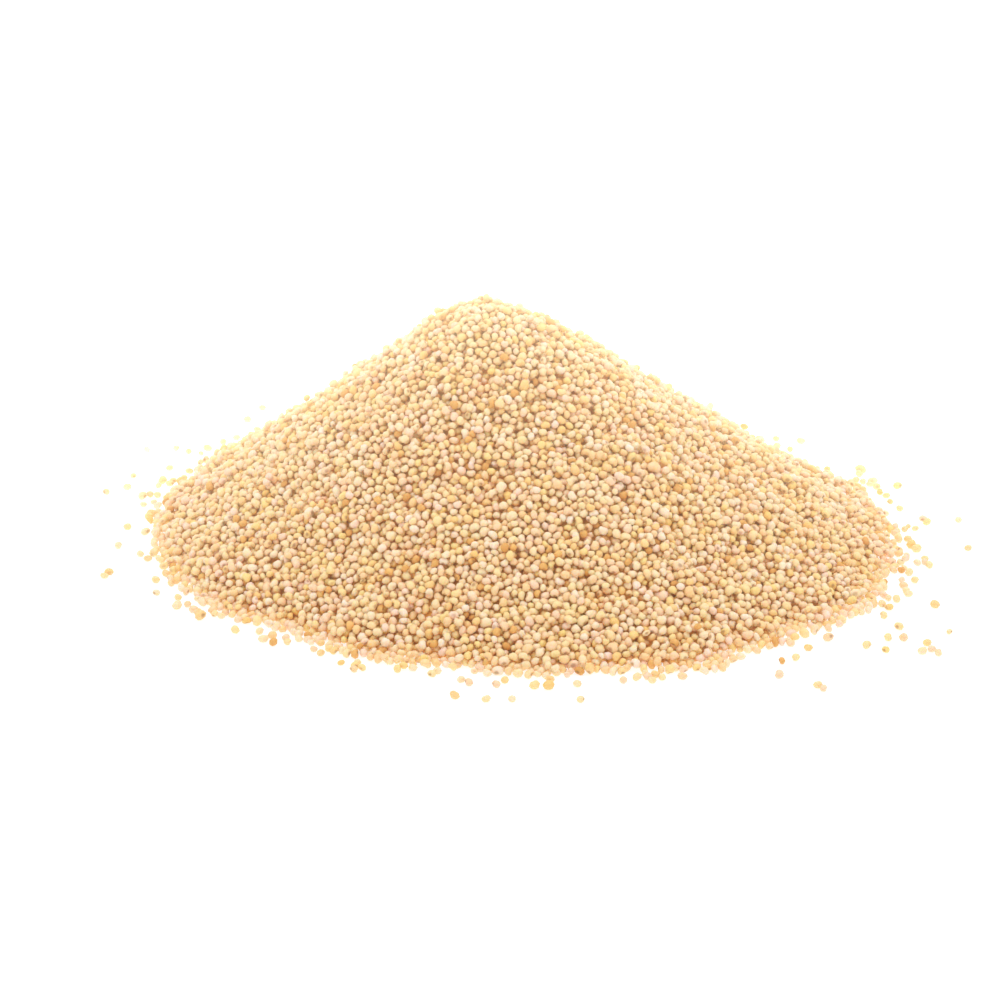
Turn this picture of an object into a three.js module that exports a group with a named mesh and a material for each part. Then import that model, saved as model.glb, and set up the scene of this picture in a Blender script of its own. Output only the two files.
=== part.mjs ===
// A heap of white poppy seeds, as it lies after being tipped out on a table.
// One low cone with a rounded top, an uneven foot and a one-seed-thick edge.
// Millimetres, +Z up. The origin is on the table, in the middle of the heap's extent.

import * as THREE from "three";

// Driving dimensions.
const HEAP_HEIGHT = 28.1; // height of the peak above the table
const FOOT_RADIUS = 44; // mean distance from the peak's axis to the edge of the foot
const FLANK_SLOPE = 0.775; // rise over run just below the peak, an angle of 38 degrees
const TOP_ROUNDING = 5.5; // radius over which the peak is rounded off
const CONE_HEIGHT = 33.4; // height of the straight cone that the hollow flank leaves at its foot
const FLANK_HOLLOW = 5.6; // height over which the flank hollows out towards a flatter foot
const EDGE_THICKNESS = 0.55; // height of the last seeds at the edge of the foot

// The plan isn't round: each wave pushes it out in so many lobes, by so many millimetres,
// with a crest in the given direction, in degrees from +X towards +Y. A wave keeps its share
// of the radius all the way up, or fades towards the peak with a power of the distance from it.
const PLAN_WAVES = [
  { lobes: 1, reach: 4.1, crest: 1, fade: 0 },
  { lobes: 2, reach: 1.7, crest: -44, fade: 0 },
  { lobes: 3, reach: 0.55, crest: -35, fade: 1.5 },
  { lobes: 5, reach: 0.35, crest: -6, fade: 1.5 },
  { lobes: 9, reach: 0.4, crest: 14, fade: 4 },
  { lobes: 14, reach: 0.45, crest: -8, fade: 5 },
  { lobes: 23, reach: 0.35, crest: 3, fade: 5 },
];

// Soft swells across the flank, left by small slides of seeds.
const FLANK_SWELLS = [
  { height: 0.28, length: 23, heading: 25 },
  { height: 0.22, length: 15, heading: 110 },
  { height: 0.14, length: 9.5, heading: 64 },
];

// Fineness of the surface.
const SECTORS = 108;
const RINGS = 22;

const radians = THREE.MathUtils.degToRad;

/** Distance from the peak's axis in one direction; t runs from 0 at the peak to 1 at the edge. */
function radiusAt(t, direction) {
  let reach = FOOT_RADIUS;
  for (const wave of PLAN_WAVES) {
    const crest = Math.cos(wave.lobes * (direction - radians(wave.crest)));
    reach += wave.reach * crest * t ** wave.fade;
  }
  return t * reach;
}

/** Height of the swells at a place on the flank; none at the peak and at the edge. */
function swellAt(t, x, y) {
  const presence = Math.sin(Math.PI * t);
  let sum = 0;
  for (const swell of FLANK_SWELLS) {
    const along = x * Math.cos(radians(swell.heading)) + y * Math.sin(radians(swell.heading));
    sum += swell.height * Math.sin((2 * Math.PI * along) / swell.length);
  }
  return presence * sum;
}

/** Height of the cone with its rounded top and its hollow flank, t as in radiusAt. */
function flankAt(t) {
  const run = Math.hypot(t * FOOT_RADIUS, TOP_ROUNDING) - TOP_ROUNDING;
  const cone = CONE_HEIGHT - FLANK_SLOPE * run;
  return FLANK_HOLLOW * Math.log1p(Math.exp(cone / FLANK_HOLLOW));
}

/** Height of the heap's surface, from the full height at the peak to the edge's thickness. */
function heightAt(t, x, y) {
  const share = (flankAt(t) - flankAt(1)) / (flankAt(0) - flankAt(1));
  return EDGE_THICKNESS + share * (HEAP_HEIGHT - EDGE_THICKNESS) + swellAt(t, x, y);
}

/** The heap as a closed shell: the peak, rings down the flank, the edge and a flat underside. */
function heapGeometry() {
  const positions = [];
  const addVertex = (x, y, z) => positions.push(x, y, z) / 3 - 1;

  const peak = addVertex(0, 0, heightAt(0, 0, 0));
  const rings = [];
  for (let ring = 1; ring <= RINGS; ring += 1) {
    const t = ring / RINGS;
    const vertices = [];
    for (let sector = 0; sector < SECTORS; sector += 1) {
      const direction = (2 * Math.PI * sector) / SECTORS;
      const radius = radiusAt(t, direction);
      const x = radius * Math.cos(direction);
      const y = radius * Math.sin(direction);
      vertices.push(addVertex(x, y, heightAt(t, x, y)));
    }
    rings.push(vertices);
  }
  const edge = rings[RINGS - 1];
  const onTable = edge.map((vertex) => addVertex(positions[3 * vertex], positions[3 * vertex + 1], 0));
  const underPeak = addVertex(0, 0, 0);
  rings.push(onTable);

  const faces = [];
  for (let sector = 0; sector < SECTORS; sector += 1) {
    const next = (sector + 1) % SECTORS;
    faces.push(peak, rings[0][sector], rings[0][next]);
    for (let ring = 1; ring < rings.length; ring += 1) {
      const [inner, outer] = [rings[ring - 1], rings[ring]];
      faces.push(inner[sector], outer[sector], outer[next]);
      faces.push(inner[sector], outer[next], inner[next]);
    }
    faces.push(underPeak, onTable[next], onTable[sector]);
  }

  const geometry = new THREE.BufferGeometry();
  geometry.setAttribute("position", new THREE.Float32BufferAttribute(positions, 3));
  geometry.setIndex(faces);
  geometry.computeBoundingBox();
  const middle = geometry.boundingBox.getCenter(new THREE.Vector3());
  geometry.translate(-middle.x, -middle.y, 0);
  geometry.computeVertexNormals();
  return geometry;
}

const creamSeed = new THREE.MeshStandardMaterial({ color: 0xe6c08c, roughness: 0.55, metalness: 0 });

const seedHeap = new THREE.Mesh(heapGeometry(), creamSeed);
seedHeap.name = "seed_heap";

const heap = new THREE.Group();
heap.add(seedHeap);

export default heap;
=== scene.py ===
"""White poppy seeds in a heap: settled seeds over a bumpy core, and stray seeds round its foot.

Classes hold their sizes in millimetres, and MM turns them into metres for Blender.
"""

import logging
import math
from dataclasses import dataclass, field, fields
from enum import Enum
from itertools import product
from typing import Any

import bmesh
import bpy
import numpy as np
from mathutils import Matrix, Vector
from mathutils.bvhtree import BVHTree


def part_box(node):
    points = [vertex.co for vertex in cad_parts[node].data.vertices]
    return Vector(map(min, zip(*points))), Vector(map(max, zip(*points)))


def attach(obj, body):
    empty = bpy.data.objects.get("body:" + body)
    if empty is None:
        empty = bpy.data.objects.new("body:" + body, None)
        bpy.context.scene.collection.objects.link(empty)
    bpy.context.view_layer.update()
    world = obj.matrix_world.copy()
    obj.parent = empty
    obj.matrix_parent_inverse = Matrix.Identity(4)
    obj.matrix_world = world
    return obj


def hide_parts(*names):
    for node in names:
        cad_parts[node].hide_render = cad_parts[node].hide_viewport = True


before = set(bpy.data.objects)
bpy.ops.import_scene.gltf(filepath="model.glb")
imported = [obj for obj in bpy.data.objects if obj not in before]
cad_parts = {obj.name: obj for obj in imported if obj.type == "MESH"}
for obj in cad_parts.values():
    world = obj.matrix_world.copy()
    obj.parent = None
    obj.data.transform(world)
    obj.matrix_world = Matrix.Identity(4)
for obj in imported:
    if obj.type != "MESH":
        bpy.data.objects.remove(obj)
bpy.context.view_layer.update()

MM = 0.001
BODY = "root"
HEAP_NODE = "seed_heap"
BAKE_MAP = "OFBake"
RANDOM_SEED = 20
GOLDEN_HALF_TURNS = 3 - math.sqrt(5)
UP = np.array([0.0, 0.0, 1.0])

Array = np.ndarray
Colour = tuple[float, float, float]
Place = tuple[float, float, float]
Random = np.random.Generator
Waves = tuple[tuple[float, float], ...]
log = logging.getLogger("poppy_seeds")


# ---------------------------------------------------------------- nodes


class Term:
    """A node's output that takes part in Python arithmetic: each operation adds a Math node."""

    def __init__(self, maker: "NodeMaker", node: bpy.types.Node, output: str | int = 0) -> None:
        """Wraps one output of a node, or the node alone if it has none.

        Args:
            maker: what adds nodes to the same tree.
            node: the node.
            output: the output's name or number.
        """
        self.maker = maker
        self.node = node
        self.socket = node.outputs[output] if node.outputs else None

    def output(self, name: str | int) -> "Term":
        """Gives another output of the same node."""
        return Term(self.maker, self.node, name)

    def __add__(self, other: Any) -> "Term":
        """Adds."""
        return self.maker.maths("ADD", self, other)

    def __radd__(self, other: Any) -> "Term":
        """Adds to a number."""
        return self.maker.maths("ADD", other, self)

    def __sub__(self, other: Any) -> "Term":
        """Subtracts."""
        return self.maker.maths("SUBTRACT", self, other)

    def __rsub__(self, other: Any) -> "Term":
        """Subtracts from a number."""
        return self.maker.maths("SUBTRACT", other, self)

    def __mul__(self, other: Any) -> "Term":
        """Multiplies."""
        return self.maker.maths("MULTIPLY", self, other)

    def __rmul__(self, other: Any) -> "Term":
        """Multiplies a number."""
        return self.maker.maths("MULTIPLY", other, self)


class NodeMaker:
    """Adds nodes to one tree, such as a material's or a Geometry Nodes tree."""

    def __init__(self, tree: bpy.types.NodeTree) -> None:
        """Works on a tree, and empties it first."""
        self.tree = tree
        tree.nodes.clear()

    def make(self, kind: str, settings: dict | None = None, inputs: dict | None = None) -> Term:
        """Adds one node.

        Args:
            kind: the node's type.
            settings: its properties, which are set before its sockets.
            inputs: values or terms, by the socket's name or number.

        Returns:
            The node's first output.
        """
        node = self.tree.nodes.new(kind)
        for name, value in (settings or {}).items():
            setattr(node, name, value)
        for key, value in (inputs or {}).items():
            if isinstance(value, Term):
                self.tree.links.new(value.socket, node.inputs[key])
            else:
                node.inputs[key].default_value = value
        return Term(self, node)

    def maths(self, operation: str, first: Any, second: Any = 0.0) -> Term:
        """Adds a Math node on one or two operands."""
        return self.make("ShaderNodeMath", {"operation": operation}, {0: first, 1: second})

    def vectors(self, operation: str, first: Any, second: Any) -> Term:
        """Adds a Vector Math node on two operands."""
        return self.make("ShaderNodeVectorMath", {"operation": operation}, {0: first, 1: second})

    def scaled(self, vector: Any, factor: Any) -> Term:
        """Multiplies a vector by a number."""
        return self.make("ShaderNodeVectorMath", {"operation": "SCALE"}, {0: vector, "Scale": factor})

    def attribute(self, name: str, output: str = "Fac") -> Term:
        """Reads an attribute of the mesh in a material."""
        return self.make("ShaderNodeAttribute", {"attribute_name": name}).output(output)

    def rising(self, value: Term, low: float, high: float) -> Term:
        """Gives a smooth step that is 0 up to low and 1 from high."""
        settings = {"interpolation_type": "SMOOTHSTEP"}
        return self.make("ShaderNodeMapRange", settings, {0: value, 1: low, 2: high})

    def mixed(self, share: Any, first: Any, second: Any) -> Term:
        """Mixes two colours.

        Args:
            share: the second colour's share.
            first: a term or a plain colour.
            second: a term or a plain colour.

        Returns:
            The mixed colour.
        """
        sides = [side if isinstance(side, Term) else (*side, 1.0) for side in (first, second)]
        inputs = {0: share, 6: sides[0], 7: sides[1]}
        return self.make("ShaderNodeMix", {"data_type": "RGBA"}, inputs).output(2)

    def surface(self, inputs: dict) -> None:
        """Ends a material's tree in one Principled shader with these inputs."""
        shader = self.make("ShaderNodeBsdfPrincipled", {}, inputs)
        self.make("ShaderNodeOutputMaterial", {}, {"Surface": shader})


def new_material(name: str) -> tuple[bpy.types.Material, NodeMaker]:
    """Starts a material.

    Args:
        name: the material's name.

    Returns:
        The material, and the maker of its nodes.
    """
    material = bpy.data.materials.new(name)
    material.use_nodes = True
    return material, NodeMaker(material.node_tree)


# ---------------------------------------------------------------- finishes


@dataclass(frozen=True)
class SeedCoat:
    """Finish of one kind of seed: matt, finely netted and browner in its notch, with a painted highlight on
    the net's ridges and painted shade low down and in gaps.

    Each share says how far a feature takes the colour over. The net and the clouds are sized for a form
    that is 2 wide, and the depths are in millimetres.
    """

    name: str
    pale: Colour
    deep: Colour
    # low: the colour of the painted shade, under and between seeds
    low: Colour
    scar: Colour
    roughness: float = 0.5
    cloud_roughness: float = 0.12
    translucence: float = 0.5
    bleed: Colour = (1.0, 0.6, 0.35)
    bleed_depth: float = 0.4
    refraction: float = 1.45
    mark_shift: Place = (31.0, 17.0, 53.0)
    cloud_scale: float = 1.3
    cloud_share: float = 0.5
    net_scale: float = 3.6
    net_width: float = 0.16
    net_height: float = 0.012
    net_strength: float = 0.5
    ridge_highlight_share: float = 0.15
    scar_middle: Place = (1.0, 0.0, 0.0)
    scar_share: float = 0.75
    # The next three set the painted shade: how far the coat turns to its low colour low on a seed and where
    # the seed sees little open air.
    lie_weight: float = 0.7
    openness_weight: float = 1.8
    painted_shade_share: float = 0.9

    def material(self) -> bpy.types.Material:
        """Builds the coat.

        It reads a seed's tone, mark and openness, which are the same all over it, a point's form, which is
        its place on the plain ball, and its lie, which is its height over the seed's middle, from -1 to 1.

        Returns:
            The material.
        """
        material, maker = new_material(self.name)
        tone, mark = maker.attribute("tone"), maker.attribute("mark")
        form = maker.attribute("form", "Vector")
        own_form = maker.vectors("ADD", form, maker.scaled(self.mark_shift, mark))

        cloudy = {"Vector": own_form, "Scale": self.cloud_scale, "Detail": 2.0}
        clouds = maker.make("ShaderNodeTexNoise", {}, cloudy)
        settings = {"feature": "DISTANCE_TO_EDGE"}
        net = maker.make("ShaderNodeTexVoronoi", settings, {"Vector": own_form, "Scale": self.net_scale})
        ridge = 1.0 - maker.rising(net, 0.0, self.net_width)
        off_scar = maker.vectors("DISTANCE", form, self.scar_middle).output("Value")
        scarred = (1.0 - maker.rising(off_scar, 0.15, 0.7)) * maker.rising(mark, 0.2, 0.8)
        # Painted shade, standing in for the shade under and between seeds: the mask grows where a point
        # lies low on its seed and where the seed sees little open air.
        high = maker.attribute("lie") * self.lie_weight
        lit = high + maker.attribute("openness") * self.openness_weight
        sunk = 1.0 - maker.rising(lit, -0.1, 1.4)

        colour = maker.mixed(tone, self.deep, self.pale)
        colour = maker.mixed(maker.rising(clouds, 0.4, 0.75) * self.cloud_share, colour, self.deep)
        # Painted highlight: the net's raised ridges are coloured paler than the pits between them.
        colour = maker.mixed(ridge * self.ridge_highlight_share, colour, self.pale)
        # Painted shade: the low colour, mixed in by the mask above.
        colour = maker.mixed(sunk * self.painted_shade_share, colour, self.low)
        colour = maker.mixed(scarred * self.scar_share, colour, self.scar)
        relief = {"Strength": self.net_strength, "Distance": self.net_height * MM, "Height": ridge}
        inputs = {
            "Base Color": colour,
            "Roughness": self.roughness + clouds * self.cloud_roughness,
            "Normal": maker.make("ShaderNodeBump", {}, relief),
            "Subsurface Weight": self.translucence,
            "Subsurface Radius": self.bleed,
            "Subsurface Scale": self.bleed_depth * MM,
            "IOR": self.refraction,
        }
        maker.surface(inputs)
        return material


@dataclass(frozen=True)
class BuriedCoat:
    """Finish of the core: buried seeds, coloured deeper than the seeds on top as painted shade, and browner
    where they meet, also painted shade.
    """

    name: str = "shaded_buried_seeds"
    # The core's colours are deeper than those of the seeds on top: painted shade.
    pale: Colour = (0.96, 0.56, 0.12)
    deep: Colour = (0.94, 0.46, 0.06)
    pit_shade: Colour = (0.74, 0.26, 0.02)
    pit_shade_share: float = 0.8
    roughness: float = 0.6
    speckle_size: float = 0.25
    speckle_height: float = 0.02
    speckle_strength: float = 0.4
    speckle_share: float = 0.3

    def material(self) -> bpy.types.Material:
        """Builds the finish, which reads each bump's tone and how deep a place lies between the bumps, for
        the painted shade there.

        Returns:
            The material.
        """
        material, maker = new_material(self.name)
        tone, pit_shade = maker.attribute("tone"), maker.attribute("pit_shade")
        place = maker.make("ShaderNodeTexCoord").output("Object")
        inputs = {"Vector": place, "Scale": 1 / (self.speckle_size * MM), "Detail": 2.0}
        speckles = maker.make("ShaderNodeTexNoise", {}, inputs)
        colour = maker.mixed(tone, self.deep, self.pale)
        colour = maker.mixed(maker.rising(speckles, 0.45, 0.7) * self.speckle_share, colour, self.deep)
        # Painted shade: browner where a place lies deep between the bumps.
        colour = maker.mixed(maker.rising(pit_shade, 0.45, 1.0) * self.pit_shade_share, colour, self.pit_shade)
        relief = {"Strength": self.speckle_strength, "Distance": self.speckle_height * MM}
        relief["Height"] = speckles
        inputs = {
            "Base Color": colour,
            "Roughness": self.roughness,
            "Normal": maker.make("ShaderNodeBump", {}, relief),
        }
        maker.surface(inputs)
        return material


@dataclass(frozen=True)
class TablePaint:
    """Finish of the floor: plain white, glowing all over as if lit from beneath, and brightest in a round
    patch behind the heap, a painted pool of light.
    """

    name: str = "white_table"
    paint: float = 0.45
    roughness: float = 0.9
    front_glow: float = 0.7
    back_glow: float = 1.35
    bright_middle: Place = (0.0, 160.0, 0.0)
    bright_radius: float = 110.0
    fading_width: float = 70.0

    def material(self) -> bpy.types.Material:
        """Builds the floor's finish.

        Returns:
            The material.
        """
        material, maker = new_material(self.name)
        place = maker.make("ShaderNodeTexCoord").output("Object")
        middle = tuple(side * MM for side in self.bright_middle)
        away = maker.vectors("DISTANCE", place, middle).output("Value")
        end = self.bright_radius + self.fading_width
        # Painted pool of light: the glow is strongest round the patch's middle and fades to the front glow.
        faded = maker.rising(away, self.bright_radius * MM, end * MM)
        dim = self.front_glow / self.back_glow
        inputs = {
            "Base Color": (self.paint, self.paint, self.paint, 1.0),
            "Roughness": self.roughness,
            "Specular IOR Level": 0.0,
            "Emission Color": maker.mixed(faded, (1.0, 1.0, 1.0), (dim, dim, dim)),
            "Emission Strength": self.back_glow,
        }
        maker.surface(inputs)
        return material


@dataclass(frozen=True)
class KindOfSeed:
    """One kind of seed: its share of the heap, and the colours of its coat, whose low colour is its painted
    shade under and between seeds.
    """

    share: float
    pale: Colour
    deep: Colour
    low: Colour
    scar: Colour


class Kind(Enum):
    """The kinds of seed in the heap."""

    # Each kind: share, pale, deep, low (the painted shade under and between seeds) and scar colours.
    IVORY = KindOfSeed(0.18, (0.97, 0.79, 0.66), (0.96, 0.69, 0.26), (0.98, 0.52, 0.02), (0.42, 0.2, 0.07))
    CREAM = KindOfSeed(0.2, (0.97, 0.76, 0.58), (0.96, 0.65, 0.2), (0.98, 0.48, 0.015), (0.38, 0.17, 0.05))
    STRAW = KindOfSeed(0.2, (0.97, 0.77, 0.54), (0.95, 0.66, 0.18), (0.98, 0.49, 0.01), (0.4, 0.19, 0.05))
    BLUSH = KindOfSeed(0.2, (0.97, 0.71, 0.59), (0.95, 0.6, 0.23), (0.97, 0.45, 0.015), (0.36, 0.15, 0.06))
    HONEY = KindOfSeed(0.19, (0.95, 0.69, 0.46), (0.92, 0.57, 0.13), (0.95, 0.42, 0.01), (0.34, 0.14, 0.04))
    AMBER = KindOfSeed(0.03, (0.88, 0.5, 0.14), (0.66, 0.29, 0.05), (0.58, 0.21, 0.03), (0.25, 0.09, 0.02))

    def coat(self) -> bpy.types.Material:
        """Builds this kind's finish."""
        kind = self.value
        return SeedCoat(f"{self.name.lower()}_coat", kind.pale, kind.deep, kind.low, kind.scar).material()


# ---------------------------------------------------------------- the heap's form


def between(grid: Array, cells: Array, parts: Array) -> Array:
    """Reads a grid at places between its points.

    Args:
        grid: values at the crossings of evenly spaced columns and rows.
        cells: the column and row of each place's cell.
        parts: how far across and along its cell each place lies, from 0 to 1.

    Returns:
        The value at each place.
    """
    (column, row), (across, along) = cells.T, parts.T
    near = grid[column, row] * (1 - across) + grid[column + 1, row] * across
    far = grid[column, row + 1] * (1 - across) + grid[column + 1, row + 1] * across
    return near * (1 - along) + far * along


@dataclass
class HeapForm:
    """The heap's outline as heights over a grid, read off the frame's solid."""

    step: float = 0.5
    margin: float = 16.0
    steepest: float = 0.95
    reach_range: tuple[float, float] = (20.0, 60.0)
    reach_step: float = 0.1
    half_side: float = field(init=False)
    corner: Array = field(init=False)
    heights: Array = field(init=False)
    slopes: list[Array] = field(init=False)

    def __post_init__(self) -> None:
        """Drops a ray on the solid at each point of the grid. Beside the heap the height is 0."""
        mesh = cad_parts[HEAP_NODE].data
        solid = BVHTree.FromPolygons([v.co for v in mesh.vertices], [p.vertices for p in mesh.polygons])
        low, high = (np.array(corner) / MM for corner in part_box(HEAP_NODE))
        self.half_side = high[:2].max()
        self.corner = low[:2] - self.margin
        counts = np.ceil((high[:2] + self.margin - self.corner) / self.step).astype(int) + 1
        self.heights = np.zeros(counts)
        down = Vector(-UP)
        for cell in np.ndindex(*counts):
            x, y = self.corner + self.step * np.array(cell)
            place = solid.ray_cast(Vector((x, y, 2 * high[2])) * MM, down)[0]
            self.heights[cell] = place.z / MM if place else 0.0
        self.slopes = np.gradient(self.heights, self.step)

    def _read(self, grid: Array, places: Array) -> Array:
        """Reads one of the form's grids.

        Args:
            grid: the heights or slopes.
            places: points, one a row. Beyond the grid's edge they read the edge.

        Returns:
            The value at each place.
        """
        at = (places[:, :2] - self.corner) / self.step
        cells = np.clip(np.floor(at).astype(int), 0, np.array(grid.shape) - 2)
        return between(grid, cells, np.clip(at - cells, 0.0, 1.0))

    def height(self, places: Array) -> Array:
        """Gives the outline's height over or under places."""
        return self._read(self.heights, places)

    def uneven(self, places: Array, waves: Waves, random: Random) -> Array:
        """Gives smooth random heights over places in plan.

        Args:
            places: points, one a row.
            waves: the length and the height of each wave.
            random: the source of chance.

        Returns:
            A height for each place, the same for the same place and draws.
        """
        total = np.zeros(len(places))
        for length, height in waves:
            at = (places[:, :2] - self.corner) / length
            cells = np.floor(at).astype(int)
            parts = at - cells
            count = int(self.heights.shape[0] * self.step / length) + 3
            knots = random.uniform(-height, height, size=(count, count))
            total += between(knots, cells, parts * parts * (3 - 2 * parts))
        return total

    def normal(self, places: Array) -> Array:
        """Gives the outline's upward normal over or under places.

        Args:
            places: points, one a row.

        Returns:
            One unit vector a row. Its slope is limited, because the outline ends in a small step.
        """
        rise = np.stack([self._read(slope, places) for slope in self.slopes], 1)
        steepness = np.linalg.norm(rise, axis=1, keepdims=True)
        rise *= np.minimum(1.0, self.steepest / np.maximum(steepness, 1e-6))
        upward = np.concatenate([-rise, np.ones((len(rise), 1))], 1)
        return upward / np.linalg.norm(upward, axis=1, keepdims=True)

    def reach(self, bearings: Array, height: float) -> Array:
        """Gives how far from the origin the outline sinks to a height.

        Args:
            bearings: directions in radians, from +X towards +Y.
            height: the height above the floor.

        Returns:
            One distance for each bearing.
        """
        distances = np.arange(*self.reach_range, self.reach_step)
        rays = np.stack([np.cos(bearings), np.sin(bearings)], 1)
        heights = self.height((distances[:, None, None] * rays).reshape(-1, 2))
        above = heights.reshape(len(distances), -1) > height
        return distances[len(distances) - 1 - np.argmax(above[::-1], 0)]


# ---------------------------------------------------------------- the seeds


@dataclass(frozen=True)
class SeedShape:
    """A typical seed: a small plump kidney, with a notch in the middle of one side.

    The notch and the bend are shares of the seed's half width.
    """

    length: float = 1.08
    width: float = 0.91
    thickness: float = 0.78
    notch: float = 0.24
    notch_narrowness: float = 5.8
    bend: float = 0.14
    bend_balance: float = 0.3

    def halves(self) -> Array:
        """Gives the half sizes along the seed's own X, Y and Z."""
        return np.array([self.width, self.length, self.thickness]) / 2


@dataclass
class SeedBatch:
    """Many seeds as arrays: middles, own axes as the columns of a matrix, and half sizes along them."""

    places: Array
    axes: Array
    halves: Array
    stray: Array

    def picked(self, which: Array) -> "SeedBatch":
        """Gives the seeds that a mask picks."""
        return SeedBatch(*[getattr(self, part.name)[which] for part in fields(self)])

    def joined(self, other: "SeedBatch") -> "SeedBatch":
        """Gives these seeds, followed by the other ones."""
        pairs = [(getattr(self, part.name), getattr(other, part.name)) for part in fields(self)]
        return SeedBatch(*[np.concatenate(pair) for pair in pairs])

    def lift(self, directions: Array, which: Array | slice = slice(None)) -> Array:
        """Gives the distance from seeds' middles to the planes that touch them in given directions."""
        own = np.einsum("nji,nj->ni", self.axes[which], directions)
        return np.sqrt(((own * self.halves[which]) ** 2).sum(1))

    def reach(self, directions: Array, which: Array) -> Array:
        """Gives how far seeds reach towards a neighbour.

        Args:
            directions: unit vectors, one for each seed.
            which: the seeds' numbers.

        Returns:
            The mean of the distances to the seed's surface and to the plane that touches it.
        """
        own = np.einsum("nji,nj->ni", self.axes[which], directions)
        surface = 1 / np.sqrt(((own / self.halves[which]) ** 2).sum(1))
        plane = np.sqrt(((own * self.halves[which]) ** 2).sum(1))
        return (surface + plane) / 2


@dataclass
class Pour:
    """Seeds tipped out over the heap's core and round its foot, which then settle until they touch.

    A wave is a length and a height. on_floor_up_to is in half widths of a seed, cell_reach in half sizes
    of the largest seed, and near_share is a share of the cell's side.
    """

    form: HeapForm
    shape: SeedShape
    random: Random
    count: int = 34500
    draws_per_seed: int = 2
    coat_depth: float = 2.5
    core_gap: float = 0.4
    overfill: float = 0.6
    lowest: float = 0.4
    skin: float = 0.46
    skin_waves: Waves = ((6.0, 0.2), (3.0, 0.42), (1.6, 0.32))
    skin_chance: float = 0.4
    wall_waves: Waves = ((3.1, 0.3), (1.7, 0.35))
    wall_seed: int = 5
    foot_height: float = 0.3
    rim_height: float = 0.75
    rim_middle: float = 0.5
    rim_waves: Waves = ((4.0, 0.4), (1.6, 0.5))
    on_floor_up_to: float = 1.25
    tilt: float = 40.0
    stray_tilt: float = 14.0
    size_spread: float = 0.1
    axis_spread: float = 0.05
    large_share: float = 0.014
    large_scale: float = 1.35
    steps: int = 90
    still_steps: int = 30
    pull: float = 0.006
    stray_pull: float = 4.0
    rebuilt_every: int = 6
    cell_reach: float = 2.1
    near_share: float = 0.72
    push: float = 1.35
    crowd_power: float = 0.75
    sight_reach: float = 2.3
    sight_rays: int = 26
    sight_spread: float = 0.85
    sight_radius: float = 0.43

    def seeds(self, places: Array, upward: Array, tilt: float, stray: bool) -> SeedBatch:
        """Makes seeds with random turns and sizes.

        Args:
            places: their first places.
            upward: the normals of what they lie on.
            tilt: the spread of the angle from a seed's thin axis to that normal, in degrees.
            stray: whether they lie apart from the heap.

        Returns:
            The seeds.
        """
        count = len(places)
        lean = np.cross(upward, self.random.normal(size=(count, 3)))
        lean /= np.linalg.norm(lean, axis=1, keepdims=True)
        angle = np.radians(tilt) * self.random.normal(size=(count, 1))
        thin = np.cos(angle) * upward + np.sin(angle) * lean
        long = np.cross(thin, self.random.normal(size=(count, 3)))
        long /= np.linalg.norm(long, axis=1, keepdims=True)
        axes = np.stack([np.cross(long, thin), long, thin], 2)
        scale = np.exp(self.size_spread * self.random.normal(size=(count, 1)))
        scale[self.random.random(count) < self.large_share] = self.large_scale
        along_axes = np.exp(self.axis_spread * self.random.normal(size=(count, 3)))
        return SeedBatch(places, axes, self.shape.halves() * scale * along_axes, np.full(count, stray))

    def over_the_core(self) -> SeedBatch:
        """Tips seeds evenly into the space between the core and the outline, and a little above it.

        Returns:
            The seeds, not yet settled.
        """
        draws = self.draws_per_seed * self.count
        spots = self.random.uniform(-self.form.half_side, self.form.half_side, size=(draws, 2))
        depth = self.random.uniform(-self.overfill, self.coat_depth - self.core_gap, size=draws)
        most_crowded = math.hypot(1.0, self.form.steepest)
        crowding = 1 / self.form.normal(spots)[:, 2]
        height = self.form.height(spots)
        tall = height - depth * crowding
        kept = (height > self.foot_height) & (tall > self.lowest)
        kept &= self.random.random(draws) * most_crowded < crowding
        places = np.column_stack([spots, tall])[kept]
        log.info("%d of %d draws lie in the coat", len(places), draws)
        places = places[: self.count]
        return self.seeds(places, self.form.normal(places), self.tilt, False)

    def strays(self, places: Array) -> SeedBatch:
        """Lays single seeds on the floor."""
        return self.seeds(places, np.broadcast_to(UP, places.shape), self.stray_tilt, True)

    @staticmethod
    def close_pairs(places: Array, side: float) -> tuple[Array, Array]:
        """Pairs up places that lie in the same cell or in neighbouring cells of a cubic grid.

        Args:
            places: points, one a row.
            side: the cells' side.

        Returns:
            The numbers of the first and of the second place of each pair.
        """
        cells = np.floor(places / side).astype(np.int64)
        cells += 1 - cells.min(0)
        spans = cells.max(0) + 2
        keys = (cells[:, 0] * spans[1] + cells[:, 1]) * spans[2] + cells[:, 2]
        order = np.argsort(keys, kind="stable")
        ranked = keys[order]
        ways = [way for way in product((0, 1), (-1, 0, 1), (-1, 0, 1)) if way >= (0, 0, 0)]
        firsts, seconds = [], []
        for x, y, z in ways:
            shift = (x * spans[1] + y) * spans[2] + z
            start = np.searchsorted(ranked, ranked + shift, "left")
            counts = np.searchsorted(ranked, ranked + shift, "right") - start
            first = np.repeat(np.arange(len(ranked)), counts)
            second = np.arange(counts.sum()) + np.repeat(start - np.cumsum(counts) + counts, counts)
            new = second > first
            firsts.append(order[first[new]])
            seconds.append(order[second[new]])
        return np.concatenate(firsts), np.concatenate(seconds)

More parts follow.
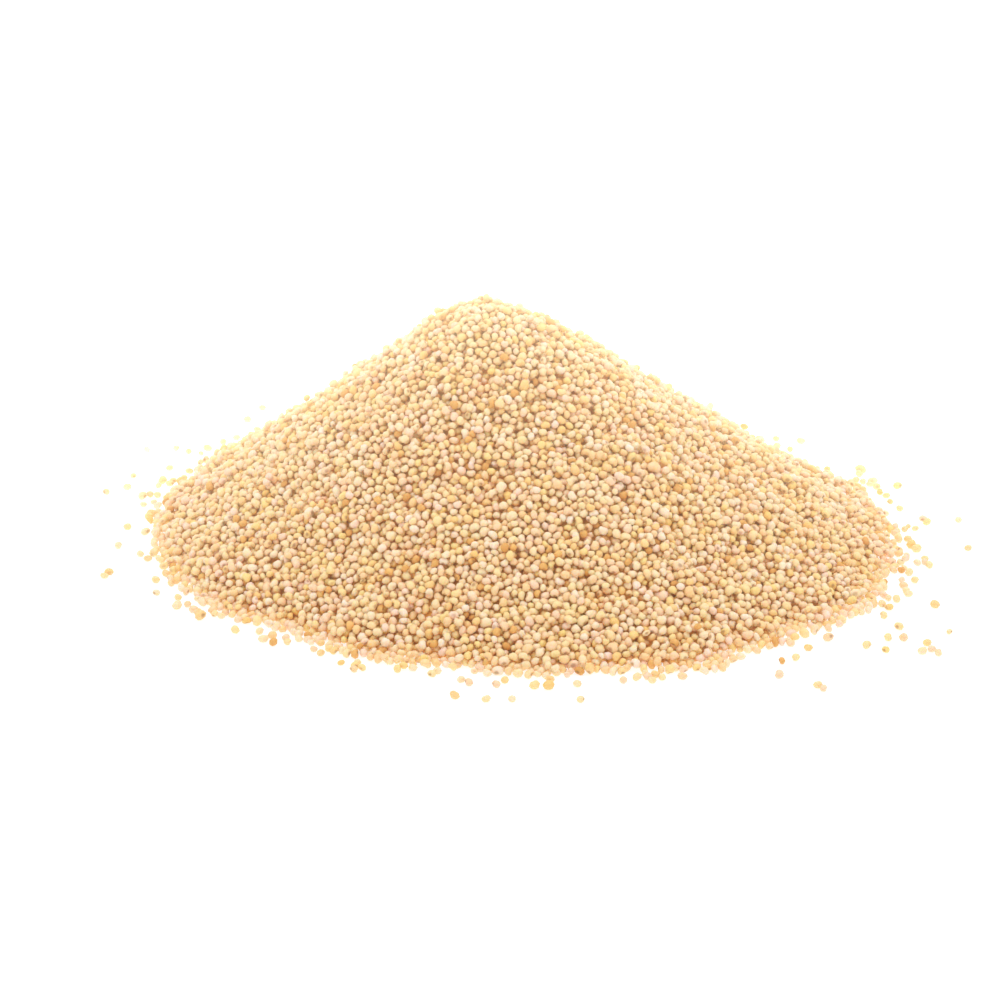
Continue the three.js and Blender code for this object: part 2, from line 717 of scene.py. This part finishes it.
    def settle(self, batch: SeedBatch) -> None:
        """Pulls the seeds on to the core and the floor, and pushes overlapping ones apart.

        Args:
            batch: the seeds, whose places change.
        """
        total = len(batch.places)
        side = self.cell_reach * batch.halves.max()
        floor = batch.lift(np.broadcast_to(UP, (total, 3)))
        for step in range(self.steps + self.still_steps):
            if step % self.rebuilt_every == 0:
                first, second = self.close_pairs(batch.places, side)
                gaps = batch.places[second] - batch.places[first]
                near = (gaps**2).sum(1) < (self.near_share * side) ** 2
                first, second = first[near], second[near]
                upward = self.form.normal(batch.places)
                upward[batch.stray] = UP
                lift = batch.lift(upward)
                pull = np.where(batch.stray, self.stray_pull * self.pull, self.pull)[:, None]
                wall = self.form.uneven(batch.places, self.wall_waves, self.wall_chance())
                wall += self.coat_depth
            gaps = batch.places[second] - batch.places[first]
            apart = np.maximum(np.linalg.norm(gaps, axis=1), 1e-6)
            gaps /= apart[:, None]
            overlap = batch.reach(gaps, first) + batch.reach(gaps, second) - apart
            hit = overlap > 0
            one, two, push = first[hit], second[hit], (0.5 * overlap[hit])[:, None] * gaps[hit]
            touching = np.bincount(one, minlength=total) + np.bincount(two, minlength=total)
            moves = [np.bincount(two, p, total) - np.bincount(one, p, total) for p in push.T]
            crowd = np.maximum(touching, 1)[:, None] ** self.crowd_power
            batch.places += self.push * np.stack(moves, 1) / crowd
            if step < self.steps:
                batch.places -= pull * upward
            sunk = self.depth(batch, upward) + lift - wall
            sunk[batch.stray] = 0.0
            batch.places += np.maximum(sunk, 0.0)[:, None] * upward
            batch.places[:, 2] = np.maximum(batch.places[:, 2], floor)
        log.info("settled: %d touching pairs, mean overlap %.3f mm", hit.sum(), overlap[hit].mean())

    def wall_chance(self) -> Random:
        """Gives the source of chance for the core's unevenness, the same at each call."""
        return np.random.default_rng(self.wall_seed)

    def depth(self, batch: SeedBatch, upward: Array) -> Array:
        """Gives how deep each seed's middle lies under the outline."""
        return (self.form.height(batch.places) - batch.places[:, 2]) * upward[:, 2]

    def skimmed(self, batch: SeedBatch) -> SeedBatch:
        """Takes off the seeds that stand out of the heap's uneven skin or lie beyond its foot.

        Args:
            batch: the settled seeds.

        Returns:
            The seeds that stay.
        """
        places, upward = batch.places, self.form.normal(batch.places)
        skin = self.skin + self.form.uneven(places, self.skin_waves, self.random)
        skin += self.skin_chance * self.random.uniform(-1, 1, len(places))
        on_floor = places[:, 2] < self.on_floor_up_to * self.shape.width / 2
        scallops = self.form.uneven(places, self.rim_waves, self.random)
        rim = self.foot_height + self.rim_height * (self.rim_middle + scallops)
        inside = self.form.height(places) > rim
        buried = self.depth(batch, upward) > skin
        return batch.picked(inside & (on_floor | buried) | batch.stray)

    def openness(self, batch: SeedBatch) -> Array:
        """Works out how much of the open air each seed sees between its neighbours.

        The rays spiral down from the upward normal, each turned by the golden angle from the last.

        Args:
            batch: the seeds.

        Returns:
            For each seed, the share of rays from its middle that meet no other seed's middle part.
        """
        first, second = self.close_pairs(batch.places, self.sight_reach)
        first, second = np.concatenate([first, second]), np.concatenate([second, first])
        gaps = batch.places[second] - batch.places[first]
        square = (gaps**2).sum(1)
        upward = self.form.normal(batch.places)
        side = np.cross(upward, (1.0, 0.0, 0.0))
        side /= np.linalg.norm(side, axis=1, keepdims=True)
        other = np.cross(upward, side)
        free = np.zeros(len(batch.places))
        for ray in range(self.sight_rays):
            lift = 1 - self.sight_spread * (ray + 0.5) / self.sight_rays
            level, turn = math.sqrt(1 - lift * lift), ray * math.pi * GOLDEN_HALF_TURNS
            way = lift * upward + level * (math.cos(turn) * side + math.sin(turn) * other)
            along = (gaps * way[first]).sum(1)
            blocking = (along > 0) & (square - along**2 < self.sight_radius**2)
            free += np.bincount(first[blocking], minlength=len(free)) == 0
        return free / self.sight_rays


# ---------------------------------------------------------------- pieces made of seeds


@dataclass
class SeedScatter:
    """Geometry Nodes that set a kidney-shaped seed on every point, and the pieces made with them."""

    shape: SeedShape
    shown_faces: tuple[int, int] = (9, 4)
    hidden_faces: tuple[int, int] = (7, 3)
    plain_up_to: float = 0.14
    cell_share: float = 0.86
    form_tree: bpy.types.NodeTree = field(init=False)
    tree: bpy.types.NodeTree = field(init=False)

    def __post_init__(self) -> None:
        """Builds both trees."""
        self.form_tree = self._form_tree()
        self.tree = self._scatter_tree()

    @staticmethod
    def _new_tree(name: str, inputs: dict[str, str]) -> tuple[NodeMaker, Term]:
        """Starts a tree with named inputs and one geometry output.

        Args:
            name: the tree's name.
            inputs: the kinds of the inputs' sockets, by name.

        Returns:
            The maker of the tree's nodes, and the first of its inputs.
        """
        tree = bpy.data.node_groups.new(name, "GeometryNodeTree")
        for label, kind in inputs.items():
            tree.interface.new_socket(name=label, in_out="INPUT", socket_type="NodeSocket" + kind)
        tree.interface.new_socket(name="Geometry", in_out="OUTPUT", socket_type="NodeSocketGeometry")
        maker = NodeMaker(tree)
        return maker, maker.make("NodeGroupInput")

    @staticmethod
    def _store(geometry: Term, name: str, kind: str, domain: str, value: Term) -> Term:
        """Adds a named attribute to a geometry.

        Args:
            geometry: the geometry.
            name: the attribute's name.
            kind: its data type.
            domain: what it belongs to, such as a point.
            value: its value there.

        Returns:
            The geometry with the attribute.
        """
        settings = {"data_type": kind, "domain": domain}
        inputs = {"Geometry": geometry, "Name": name, "Value": value}
        return geometry.maker.make("GeometryNodeStoreNamedAttribute", settings, inputs)

    def _form_tree(self) -> bpy.types.NodeTree:
        """Builds the tree of one seed, a ball pressed into a kidney.

        Returns:
            The tree. Its seed is 1 wide, 1 long and 1 thick, along X, Y and Z.
        """
        inputs = {"Segments": "Int", "Rings": "Int", "Notch": "Float", "Bend": "Float"}
        maker, given = self._new_tree("seed_form", inputs)
        sizes = {"Segments": given.output("Segments"), "Rings": given.output("Rings"), "Radius": 1.0}
        ball = maker.make("GeometryNodeMeshUVSphere", {}, sizes)
        place = maker.make("GeometryNodeInputPosition")
        seed = self._store(ball, "form", "FLOAT_VECTOR", "POINT", place)
        seed = self._store(seed, BAKE_MAP, "FLOAT2", "CORNER", ball.output("UV Map"))
        across = maker.make("ShaderNodeSeparateXYZ", {}, {0: place})
        along = across.output("Y")
        narrow = maker.maths("EXPONENT", along * along * -self.shape.notch_narrowness)
        dent = given.output("Notch") * narrow * maker.maths("MAXIMUM", across, 0.0)
        bent = across - dent + given.output("Bend") * (along * along - self.shape.bend_balance)
        pressed = {"X": bent * 0.5, "Y": along * 0.5, "Z": across.output("Z") * 0.5}
        moved = {"Geometry": seed, "Position": maker.make("ShaderNodeCombineXYZ", {}, pressed)}
        seed = maker.make("GeometryNodeSetPosition", {}, moved)
        maker.make("NodeGroupOutput", {}, {0: seed})
        return maker.tree

    def _scatter_tree(self) -> bpy.types.NodeTree:
        """Builds the tree that sets a seed on each point, a coarser one where the point is hidden.

        Returns:
            The tree.
        """
        inputs = {"Geometry": "Geometry", "Coat": "Material"}
        counts = product(("Shown", "Hidden"), ("Segments", "Rings"))
        inputs |= {f"{label} {name}": "Int" for label, name in counts}
        inputs |= {name: "Float" for name in ("Notch", "Bend", "Map Cell", "Map Margin")}
        maker, given = self._new_tree("seed_scatter", inputs)

        def named(name: str, kind: str) -> Term:
            """Reads an attribute of the points."""
            return maker.make("GeometryNodeInputNamedAttribute", {"data_type": kind}, {"Name": name})

        points = maker.make("GeometryNodeMeshToPoints", {}, {"Mesh": given})
        turn = maker.make("FunctionNodeEulerToRotation", {}, {0: named("turn", "FLOAT_VECTOR")})
        hidden = named("hidden", "BOOLEAN")
        shown = maker.make("FunctionNodeBooleanMath", {"operation": "NOT"}, {0: hidden})
        both = maker.make("GeometryNodeJoinGeometry")
        for label, chosen in {"Shown": shown, "Hidden": hidden}.items():
            sizes = {name: given.output(f"{label} {name}") for name in ("Segments", "Rings")}
            sizes |= {name: given.output(name) for name in ("Notch", "Bend")}
            seed = maker.make("GeometryNodeGroup", {"node_tree": self.form_tree}, sizes)
            inputs = {"Points": points, "Selection": chosen, "Instance": seed, "Rotation": turn}
            inputs["Scale"] = named("size", "FLOAT_VECTOR")
            seeds = maker.make("GeometryNodeInstanceOnPoints", {}, inputs)
            maker.tree.links.new(seeds.socket, both.node.inputs[0])
        seeds = maker.make("GeometryNodeRealizeInstances", {}, {"Geometry": both})
        # The lie, each point's height over its seed's middle, steers the coat's painted shade.
        place = maker.make("GeometryNodeInputPosition")
        off_middle = maker.vectors("SUBTRACT", place, named("middle", "FLOAT_VECTOR"))
        lie = maker.vectors("DOT_PRODUCT", off_middle, named("upward", "FLOAT_VECTOR")).output("Value")
        seeds = self._store(seeds, "lie", "FLOAT", "POINT", lie)
        margin = given.output("Map Margin")
        corner = maker.make("ShaderNodeCombineXYZ", {}, {"X": margin, "Y": margin})
        corner = maker.vectors("ADD", corner, named("cell", "FLOAT_VECTOR"))
        inside = maker.scaled(named(BAKE_MAP, "FLOAT_VECTOR"), given.output("Map Cell"))
        seeds = self._store(seeds, BAKE_MAP, "FLOAT2", "CORNER", maker.vectors("ADD", corner, inside))
        seeds = maker.make("GeometryNodeSetShadeSmooth", {}, {"Geometry": seeds})
        coat = {"Geometry": seeds, "Material": given.output("Coat")}
        seeds = maker.make("GeometryNodeSetMaterial", {}, coat)
        maker.make("NodeGroupOutput", {}, {0: seeds})
        return maker.tree

    @staticmethod
    def _angles(axes: Array) -> Array:
        """Turns matrices into XYZ angles.

        Args:
            axes: one matrix for each seed, with its own axes as columns.

        Returns:
            The turns about X, Y and Z, one seed a row.
        """
        pitch = np.arcsin(np.clip(-axes[:, 2, 0], -1, 1))
        roll = np.arctan2(axes[:, 2, 1], axes[:, 2, 2])
        yaw = np.arctan2(axes[:, 1, 0], axes[:, 0, 0])
        return np.stack([roll, pitch, yaw], 1)

    @staticmethod
    def _keep(points: bpy.types.Mesh, name: str, values: Array) -> None:
        """Stores an attribute on points.

        Args:
            points: the mesh that has the points.
            name: the attribute's name.
            values: a vector, a number or a truth value for each point.
        """
        kind = "FLOAT_VECTOR" if values.ndim == 2 else "BOOLEAN" if values.dtype == bool else "FLOAT"
        kept = points.attributes.new(name, kind, "POINT")
        kept.data.foreach_set("vector" if values.ndim == 2 else "value", values.ravel())

    def piece(
        self, name: str, batch: SeedBatch, upward: Array, looks: dict[str, Array], coat: bpy.types.Material
    ) -> bpy.types.Object:
        """Makes one piece out of seeds.

        Args:
            name: the piece's name.
            batch: its seeds.
            upward: the normals of what they lie on.
            looks: the seeds' tones, marks and openness.
            coat: their finish.

        Returns:
            The piece, a plain mesh.
        """
        count = len(batch.places)
        per_row = math.ceil(math.sqrt(count))
        number = np.arange(count)
        points = bpy.data.meshes.new(name + "_points")
        points.from_pydata((batch.places * MM).tolist(), [], [])
        cell = np.stack([number % per_row, number // per_row, 0 * number], 1) / per_row
        kept = {
            "turn": self._angles(batch.axes),
            "size": 2 * MM * batch.halves,
            "middle": MM * batch.places,
            "upward": upward / batch.lift(upward)[:, None] / MM,
            "cell": cell,
            "hidden": looks["openness"] < self.plain_up_to,
        }
        for label, values in (kept | looks).items():
            self._keep(points, label, values)

        made = placed(name, points)
        modifier = made.modifiers.new("scatter", "NODES")
        modifier.node_group = self.tree
        settings = {
            "Coat": coat,
            "Shown Segments": self.shown_faces[0],
            "Shown Rings": self.shown_faces[1],
            "Hidden Segments": self.hidden_faces[0],
            "Hidden Rings": self.hidden_faces[1],
            "Notch": self.shape.notch,
            "Bend": self.shape.bend,
            "Map Cell": self.cell_share / per_row,
            "Map Margin": (1 - self.cell_share) / 2 / per_row,
        }
        for item in self.tree.interface.items_tree:
            if item.name in settings:
                modifier[item.identifier] = settings[item.name]
        evaluated = made.evaluated_get(bpy.context.evaluated_depsgraph_get())
        mesh = bpy.data.meshes.new_from_object(evaluated)
        made.modifiers.remove(modifier)
        made.data = mesh
        mesh.name = name
        bpy.data.meshes.remove(points)
        for label in kept:
            mesh.attributes.remove(mesh.attributes[label])
        return finished(made)


def placed(name: str, data: bpy.types.ID) -> bpy.types.Object:
    """Puts a new object into the scene.

    Args:
        name: the object's name.
        data: its mesh, lamp or camera.

    Returns:
        The object.
    """
    made = bpy.data.objects.new(name, data)
    bpy.context.scene.collection.objects.link(made)
    return made


def finished(piece: bpy.types.Object) -> bpy.types.Object:
    """Puts a finished piece on the heap's body, in the place of the heap's solid.

    Args:
        piece: an object whose mesh is done.

    Returns:
        The same piece.
    """
    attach(piece, BODY)
    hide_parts(HEAP_NODE)
    return piece


@dataclass
class SeedCover:
    """The settled seeds that can be seen, and the stray ones, as one piece for each kind.

    Seeds that lie open beside the glowing floor count as more open, by floor_light, so their coats take
    less painted shade: this is painted light from the floor. Stray seeds get deeper tones, as painted
    shade.
    """

    scatter: SeedScatter
    form: HeapForm
    random: Random
    unseen_up_to: float = 0.04
    tone_curve: tuple[float, float] = (2.2, 1.6)
    stray_shade_tone: float = 0.75
    floor_height: float = 0.7
    floor_sight: float = 0.2
    floor_light: float = 0.5

    def pieces(self, batch: SeedBatch, openness: Array) -> list[bpy.types.Object]:
        """Deals the seeds out to the kinds and makes a piece of each.

        Args:
            batch: the seeds.
            openness: how much open air each of them sees.

        Returns:
            One piece for each kind.
        """
        seen = openness > self.unseen_up_to
        batch, openness = batch.picked(seen), openness[seen]
        count, kinds = len(batch.places), list(Kind)
        upward = self.form.normal(batch.places)
        upward[batch.stray] = UP
        # Painted light from the glowing floor: seeds open beside it count as more open, so their coats take
        # less painted shade.
        by_the_floor = (openness > self.floor_sight) & (batch.places[:, 2] < self.floor_height)
        # Painted shade: stray seeds' tones are taken down towards their deep colour.
        shade_tone = np.where(batch.stray, self.stray_shade_tone, 1.0)
        dealt = self.random.choice(len(kinds), count, p=[kind.value.share for kind in kinds])
        looks = {
            "tone": self.random.beta(*self.tone_curve, count) * shade_tone,
            "mark": self.random.random(count),
            "openness": openness + self.floor_light * by_the_floor,
        }
        made = []
        for number, kind in enumerate(kinds):
            mine = dealt == number
            own_looks = {name: values[mine].astype(np.float32) for name, values in looks.items()}
            name = f"{kind.name.lower()}_seeds"
            log.info("%s: %d seeds", name, mine.sum())
            made.append(self.scatter.piece(name, batch.picked(mine), upward[mine], own_looks, kind.coat()))
        return made


@dataclass(frozen=True)
class StrayPatch:
    """Single seeds that rolled away from the foot, round one bearing in degrees from +X towards +Y."""

    bearing: float
    spread: float
    count: int
    nearest: float
    farthest: float
    foot_height: float = 0.05

    def places(self, form: HeapForm, random: Random) -> Array:
        """Scatters the patch's seeds on the floor.

        Args:
            form: the outline, from whose foot the distances are measured.
            random: the source of chance.

        Returns:
            One place a row.
        """
        bearings = np.radians(self.bearing + self.spread * random.uniform(-1, 1, self.count))
        beyond = random.uniform(self.nearest, self.farthest, self.count)
        reach = form.reach(bearings, self.foot_height) + beyond
        return np.stack([reach * np.cos(bearings), reach * np.sin(bearings), 0 * reach], 1)


STRAY_PATCHES = (
    StrayPatch(bearing=-162, spread=1.5, count=2, nearest=5.4, farthest=6.2),
    StrayPatch(bearing=-172, spread=2.0, count=1, nearest=3.4, farthest=3.8),
    StrayPatch(bearing=163, spread=4.0, count=3, nearest=3.6, farthest=8.6),
    StrayPatch(bearing=152, spread=5.0, count=4, nearest=2.4, farthest=8.9),
    StrayPatch(bearing=-131, spread=14, count=3, nearest=0.4, farthest=3.0),
    StrayPatch(bearing=-91, spread=9.0, count=4, nearest=5.2, farthest=6.6),
    StrayPatch(bearing=-57, spread=1.0, count=2, nearest=9.8, farthest=11.0),
    StrayPatch(bearing=-56, spread=5.0, count=3, nearest=2.6, farthest=5.6),
    StrayPatch(bearing=-41, spread=1.6, count=3, nearest=10.2, farthest=12.0),
    StrayPatch(bearing=-36, spread=9.0, count=8, nearest=3.0, farthest=10.0),
    StrayPatch(bearing=-14, spread=11, count=4, nearest=0.4, farthest=3.0),
    StrayPatch(bearing=-6, spread=8.0, count=2, nearest=5.6, farthest=9.0),
    StrayPatch(bearing=12, spread=20, count=9, nearest=0.6, farthest=4.0),
    StrayPatch(bearing=92, spread=55, count=20, nearest=0.6, farthest=8.0),
    StrayPatch(bearing=0, spread=180, count=130, nearest=-0.3, farthest=2.1),
)


# ---------------------------------------------------------------- the core


@dataclass
class HeapCore:
    """The buried seeds as one closed body, with a bump for each seed of its surface.

    The top's and the base's map is a share of the bake map's side, and where the map starts.
    """

    form: HeapForm
    random: Random
    depth: float = 2.1
    step: float = 0.4
    edge_height: float = 0.35
    lowest: float = 0.1
    spacing: float = 0.9
    jitter: float = 0.32
    bump: float = 0.62
    bump_height: float = 0.5
    top_map: tuple[float, float] = (0.98, 0.01)
    base_map: tuple[float, float] = (0.12, 0.88)
    name: str = "buried_core"

    def _edge(self, bearings: Array) -> Array:
        """Gives how far the core reaches from the origin."""
        return self.form.reach(bearings, self.edge_height + self.depth)

    def _relief(self, places: Array) -> tuple[Array, Array]:
        """Works out the bumps at places in plan.

        Args:
            places: points, one a row.

        Returns:
            How far each place lies below the bumps' tops, and its bump's own tone.
        """
        at = places[:, :2] / self.spacing
        at = at - at.min(0) + 2
        cells = np.floor(at).astype(int)
        spans = cells.max(0) + 3
        middles = np.stack(np.indices(spans), 2) + 0.5
        middles += self.random.uniform(-self.jitter, self.jitter, size=(*spans, 2))
        tones = self.random.random(spans)
        nearest, tone = np.full(len(at), np.inf), np.zeros(len(at))
        for offset in np.ndindex(3, 3):
            column, row = (cells + np.array(offset) - 1).T
            away = np.linalg.norm(at - middles[column, row], axis=1) * self.spacing
            closer = away < nearest
            nearest, tone = np.where(closer, away, nearest), np.where(closer, tones[column, row], tone)
        share = np.minimum(nearest / self.bump, 1.0)
        return self.bump * (1 - np.sqrt(1 - share**2)), tone

    def piece(self) -> bpy.types.Object:
        """Builds the core: a grid cut to its edge, raised to its relief, closed by walls and a base.

        Returns:
            The piece.
        """
        span = self.form.half_side
        cells = round(2 * span / self.step)
        shape = bmesh.new()
        bmesh.ops.create_grid(shape, x_segments=cells, y_segments=cells, size=span)
        places = np.array([v.co for v in shape.verts])
        distance = np.hypot(places[:, 0], places[:, 1])
        edge = self._edge(np.arctan2(places[:, 1], places[:, 0]))
        outside = [v for v, out in zip(shape.verts, distance > edge) if out]
        bmesh.ops.delete(shape, geom=outside, context="VERTS")
        loose = [v for v in shape.verts if not v.link_faces]
        bmesh.ops.delete(shape, geom=loose, context="VERTS")

        rim = [e for e in shape.edges if e.is_boundary]
        rim_points = list({v for e in rim for v in e.verts})
        reach = self._edge(np.array([math.atan2(v.co.y, v.co.x) for v in rim_points]))
        for vertex, length in zip(rim_points, reach):
            vertex.co.xy = vertex.co.xy.normalized() * length
        places = np.array([v.co for v in shape.verts])
        drop, tones = self._relief(places)
        surface = self.form.height(places) - self.depth / self.form.normal(places)[:, 2]
        # Each point keeps its bump's tone, and its depth between the bumps for the core's painted shade.
        tone_layer = shape.verts.layers.float.new("tone")
        pit_shade_layer = shape.verts.layers.float.new("pit_shade")
        for vertex, height, low, tone in zip(shape.verts, surface, drop, tones):
            vertex.co.z = max(height - self.bump_height * low, self.lowest)
            vertex[tone_layer] = tone
            vertex[pit_shade_layer] = min(low / (self.bump_height * self.bump), 1.0)
        walls = bmesh.ops.extrude_edge_only(shape, edges=rim)["geom"]
        for part in walls:
            if isinstance(part, bmesh.types.BMVert):
                part.co.z = 0.0
        bmesh.ops.contextual_create(shape, geom=[e for e in shape.edges if e.is_boundary])
        bmesh.ops.scale(shape, vec=(MM, MM, MM), verts=shape.verts)
        bmesh.ops.recalc_face_normals(shape, faces=shape.faces)
        self._unwrap(shape, span * MM)

        mesh = bpy.data.meshes.new(self.name)
        shape.to_mesh(mesh)
        shape.free()
        mesh.shade_smooth()
        mesh.materials.append(BuriedCoat().material())
        return finished(placed(self.name, mesh))

    def _unwrap(self, shape: bmesh.types.BMesh, span: float) -> None:
        """Lays the top over most of the bake map, seen from above, and the base in its corner.

        Args:
            shape: the core, in metres.
            span: half the side of the square that the map covers.
        """
        layer = shape.loops.layers.uv.new(BAKE_MAP)
        for face in shape.faces:
            share, start = self.base_map if face.normal.z < -0.5 else self.top_map
            for loop in face.loops:
                loop[layer].uv = (loop.vert.co.xy / (2 * span) + Vector((0.5, 0.5))) * share
                loop[layer].uv += Vector((start, start))


# ---------------------------------------------------------------- the studio


@dataclass(frozen=True)
class SoftLight:
    """One large soft white lamp: its place, its width and its power in watts."""

    name: str
    place: Place
    width: float
    power: float

    def make(self) -> None:
        """Hangs the lamp, out of the camera's sight, and turns it towards the heap."""
        lamp = bpy.data.lights.new(self.name, "AREA")
        lamp.shape = "DISK"
        lamp.size = self.width * MM
        lamp.energy = self.power
        hung = placed(self.name, lamp)
        hung.location = Vector(self.place) * MM
        hung.rotation_euler = (-hung.location).to_track_quat("-Z", "Y").to_euler()
        hung.visible_camera = False


@dataclass
class Studio:
    """White floor, soft light all round and from above, and the camera."""

    floor_side: float = 6000.0
    sky_glow: float = 0.9
    lamps: tuple[SoftLight, ...] = (SoftLight("high_soft_light", (15.0, 45.0, 400.0), 400.0, 0.5),)
    tone_gamma: float = 1.1
    bloom_from: float = 1.2
    bloom_size: float = 0.6
    bloom_strength: float = 1.6
    bloom_tint: Colour = (1.0, 0.88, 0.58)
    elevation: float = 19.5
    distance: float = 400.0
    target: Place = (-3.92, -0.29, 12.0)
    aim_right: float = 1.473
    aim_down: float = 7.75
    lens: float = 124.16
    sensor: float = 36.0
    clip: tuple[float, float] = (10.0, 20000.0)
    bounces: int = 6

    def floor(self) -> None:
        """Lays the floor."""
        shape = bmesh.new()
        bmesh.ops.create_grid(shape, x_segments=1, y_segments=1, size=self.floor_side * MM / 2)
        mesh = bpy.data.meshes.new("floor")
        shape.to_mesh(mesh)
        shape.free()
        mesh.materials.append(TablePaint().material())
        floor = placed("floor", mesh)

    def sky(self) -> None:
        """Surrounds the scene with white light."""
        world = bpy.data.worlds.new("white_room")
        world.use_nodes = True
        maker = NodeMaker(world.node_tree)
        white = maker.make("ShaderNodeBackground", {}, {"Color": (1, 1, 1, 1), "Strength": self.sky_glow})
        maker.make("ShaderNodeOutputWorld", {}, {"Surface": white})
        bpy.context.scene.world = world

    def camera(self) -> None:
        """Sets up the camera, which looks down at the heap from the front."""
        angle = math.radians(self.elevation)
        back = Vector((0.0, -math.cos(angle), math.sin(angle)))
        upward = Vector((0.0, math.sin(angle), math.cos(angle)))
        target = Vector(self.target)
        aim = target + Vector((self.aim_right, 0.0, 0.0)) - self.aim_down * upward
        place = target + self.distance * back
        lens = bpy.data.cameras.new("camera")
        lens.lens, lens.sensor_width = self.lens, self.sensor
        lens.clip_start, lens.clip_end = (reach * MM for reach in self.clip)
        camera = placed("camera", lens)
        camera.location = place * MM
        camera.rotation_euler = (aim - place).to_track_quat("-Z", "Y").to_euler()
        bpy.context.scene.camera = camera

    def bloom(self) -> None:
        """Lets the brightest part of the floor, behind the heap, spill over its edge as in a real lens."""
        scene = bpy.context.scene
        scene.use_nodes = True
        maker = NodeMaker(scene.node_tree)
        settings = {"glare_type": "BLOOM", "quality": "HIGH"}
        inputs = {
            "Image": maker.make("CompositorNodeRLayers"),
            "Threshold": self.bloom_from,
            "Strength": self.bloom_strength,
            "Size": self.bloom_size,
            "Tint": (*self.bloom_tint, 1.0),
        }
        shown = maker.make("CompositorNodeGlare", settings, inputs)
        maker.make("CompositorNodeComposite", {}, {"Image": shown})

    def build(self) -> None:
        """Builds the whole studio and sets how light is counted and shown."""
        self.floor()
        self.sky()
        for lamp in self.lamps:
            lamp.make()
        self.camera()
        self.bloom()
        scene = bpy.context.scene
        scene.view_settings.view_transform = "Standard"
        scene.view_settings.gamma = self.tone_gamma
        scene.cycles.max_bounces = self.bounces
        scene.cycles.diffuse_bounces = self.bounces


# ---------------------------------------------------------------- the whole


def main() -> None:
    """Builds the heap and the studio, and reports each piece."""
    logging.basicConfig(level=logging.INFO, format="%(name)s: %(message)s")
    random = np.random.default_rng(RANDOM_SEED)
    form, shape = HeapForm(), SeedShape()
    pour = Pour(form, shape, random)
    strays = np.concatenate([patch.places(form, random) for patch in STRAY_PATCHES])
    batch = pour.over_the_core().joined(pour.strays(strays))
    pour.settle(batch)
    batch = pour.skimmed(batch)
    pieces = SeedCover(SeedScatter(shape), form, random).pieces(batch, pour.openness(batch))
    pieces.append(HeapCore(form, random).piece())
    for piece in pieces:
        triangles = len(piece.data.loops) - 2 * len(piece.data.polygons)
        log.info("%s: %d triangles", piece.name, triangles)
    Studio().build()


if __name__ == "__main__":
    main()
